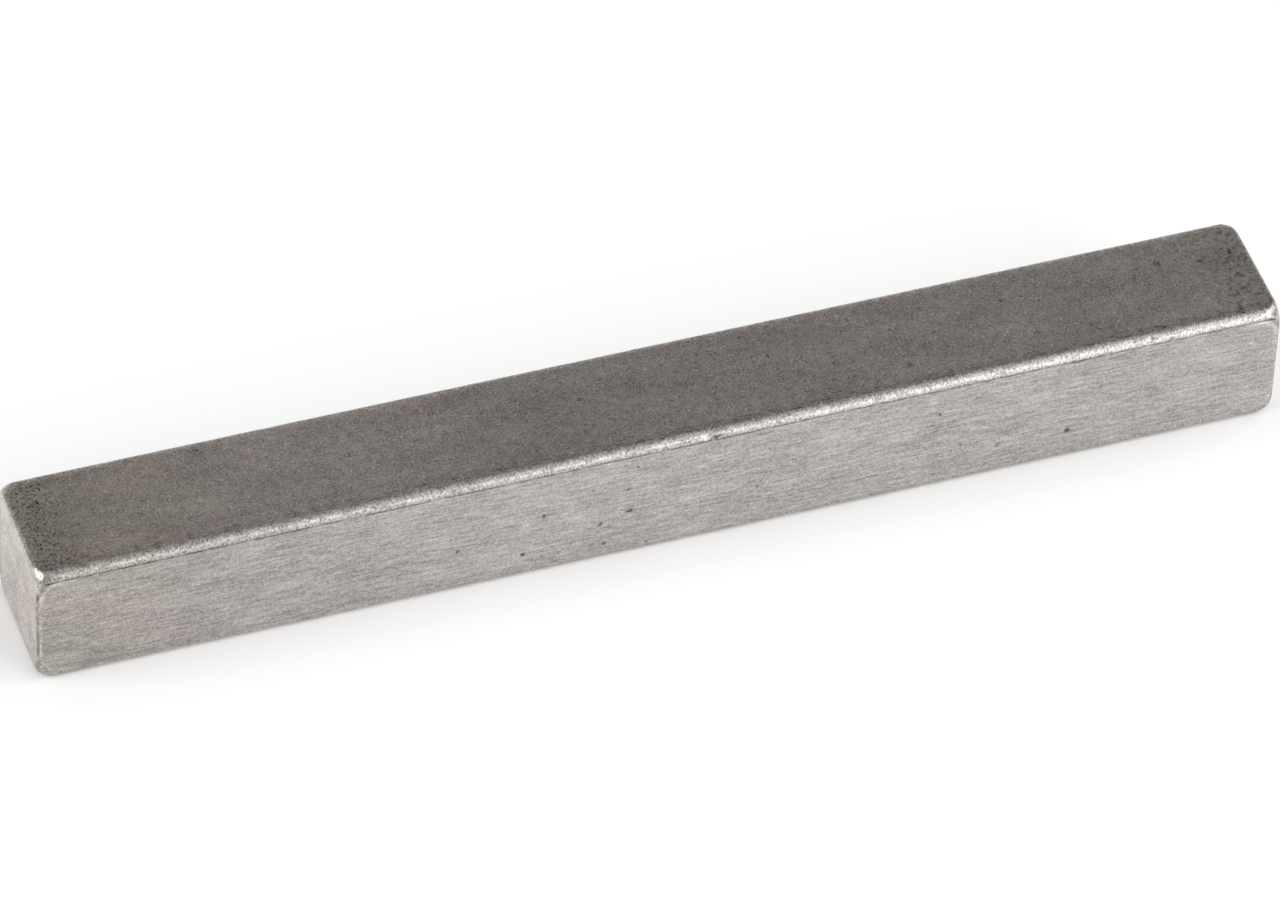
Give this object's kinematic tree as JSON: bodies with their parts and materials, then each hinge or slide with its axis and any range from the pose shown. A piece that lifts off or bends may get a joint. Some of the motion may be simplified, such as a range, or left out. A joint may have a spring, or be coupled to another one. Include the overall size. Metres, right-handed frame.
{
  "type": "parallel key",
  "caption": "Square-section parallel key with square ends, rounded long edges and worn corners, in bright-drawn steel.",
  "frame": {"origin": "centre of the bottom face, which rests on the keyway floor", "axes": "+X along the key, +Y out of one flank, +Z out of the top face"},
  "size_m": [0.055, 0.006, 0.006],
  "materials": {
    "steel": "bright-drawn bar steel, tumbled dull, with a burnished rounded edge"
  },
  "bodies": {
    "root": {"parallel_key": "steel"}
  },
  "joints": []
}
